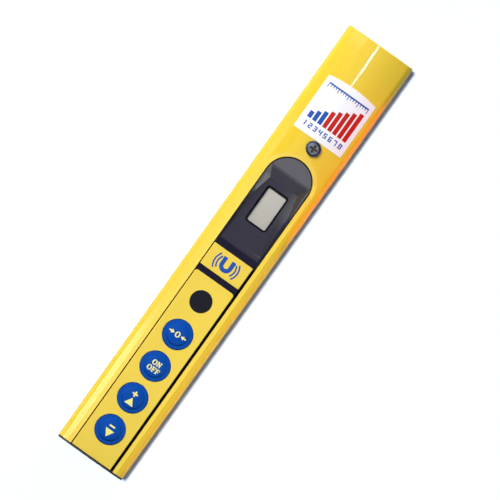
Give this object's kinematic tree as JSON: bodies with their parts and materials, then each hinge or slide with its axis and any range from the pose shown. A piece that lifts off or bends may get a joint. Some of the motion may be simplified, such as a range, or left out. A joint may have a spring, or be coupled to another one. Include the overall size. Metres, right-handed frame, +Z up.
{
  "type": "magnetic locator",
  "caption": "Hand-held magnetic locator: a yellow tube with a crowned top, a control slot with round push keys and a sunk display, and a battery tray that draws out of the rear end.",
  "frame": {"origin": "middle of the flat underside, under the middle of the tube's length", "axes": "+X along the tube towards the sensing end, +Y towards the left side seen from the battery end with the keys up, +Z up out of the control panel"},
  "size_m": [0.274, 0.042, 0.04],
  "materials": {
    "yellow_coat": "gloss yellow coat on an aluminium extrusion",
    "plate_yellow": "satin yellow coat on sheet",
    "deck_black": "semi-gloss moulded",
    "mesh_black": "fine woven mesh",
    "speaker_black": "matte",
    "board_green": "solder mask",
    "chip_black": "matte",
    "window_clear": "clear",
    "display_grey": "grey display face",
    "steel": "bright stainless",
    "brass": "turned",
    "label_white": "printed, glossy",
    "plate_black": "black anodised",
    "seal_black": "moulded",
    "tray_black": "fine moulded texture",
    "cell_metal": "printed sleeve",
    "contact_metal": "nickel plated",
    "bar_plastic": "laminate tube",
    "key_blue": "satin",
    "dome_rubber": "moulded",
    "spool_white": "moulded",
    "winding_copper": "enamelled copper wire",
    "ribbon": "polyimide film",
    "core_metal": "annealed core rod",
    "cradle_rubber": "foam rubber"
  },
  "bodies": {
    "housing": {"housing_tube": "yellow_coat", "control_deck": "deck_black", "keypad_plate": "plate_yellow", "trim_plate": "plate_yellow", "sound_mesh": "mesh_black", "speaker": "speaker_black", "keypad_board": "board_green", "main_board": "board_green", "display_board": "board_green", "display_ribbon": "ribbon", "board_chips": "chip_black", "board_header": "chip_black", "display_window": "window_clear", "display_glass": "display_grey", "deck_screw": "steel", "plug_screws": "steel", "deck_insert": "brass", "cap_insert": "brass", "label": "label_white", "plug_seal": "seal_black", "front_plug": "tray_black", "contact_block": "tray_black", "contact_leaves": "contact_metal", "sensor_bar": "bar_plastic", "gain_down_dome": "dome_rubber", "gain_up_dome": "dome_rubber", "power_dome": "dome_rubber", "zero_dome": "dome_rubber", "rear_spool": "spool_white", "rear_winding": "winding_copper", "rear_core": "core_metal", "rear_cradle": "cradle_rubber", "front_spool": "spool_white", "front_winding": "winding_copper", "front_core": "core_metal", "front_cradle": "cradle_rubber"},
    "gain_down_button": {"gain_down_key": "key_blue"},
    "gain_up_button": {"gain_up_key": "key_blue"},
    "power_button": {"power_key": "key_blue"},
    "zero_button": {"zero_key": "key_blue"},
    "battery_drawer": {"end_plate": "plate_black", "end_gasket": "seal_black", "battery_tray": "tray_black", "battery_cells": "cell_metal", "cell_bridge": "contact_metal", "cell_contacts": "contact_metal"},
    "captive_screw": {"cap_screw": "steel", "cap_screw_clip": "steel"}
  },
  "joints": [
    {"name": "gain_down_press", "type": "slide", "parent": "housing", "child": "gain_down_button", "axis": [0, 0, -1], "range_m": [0, 0.001], "stiffness_N_per_m": 1500, "deforming": ["gain_down_dome"]},
    {"name": "gain_up_press", "type": "slide", "parent": "housing", "child": "gain_up_button", "axis": [0, 0, -1], "range_m": [0, 0.001], "stiffness_N_per_m": 1500, "deforming": ["gain_up_dome"]},
    {"name": "power_press", "type": "slide", "parent": "housing", "child": "power_button", "axis": [0, 0, -1], "range_m": [0, 0.001], "stiffness_N_per_m": 1500, "deforming": ["power_dome"]},
    {"name": "zero_press", "type": "slide", "parent": "housing", "child": "zero_button", "axis": [0, 0, -1], "range_m": [0, 0.001], "stiffness_N_per_m": 1500, "deforming": ["zero_dome"]},
    {"name": "battery_drawer_slide", "type": "slide", "parent": "housing", "child": "battery_drawer", "axis": [-1, 0, 0], "range_m": [0, 0.112]},
    {"name": "captive_screw_turn", "type": "hinge", "parent": "battery_drawer", "child": "captive_screw", "pos_m": [-0.136, 0, 0.0254], "axis": [1, 0, 0], "continuous": true}
  ]
}
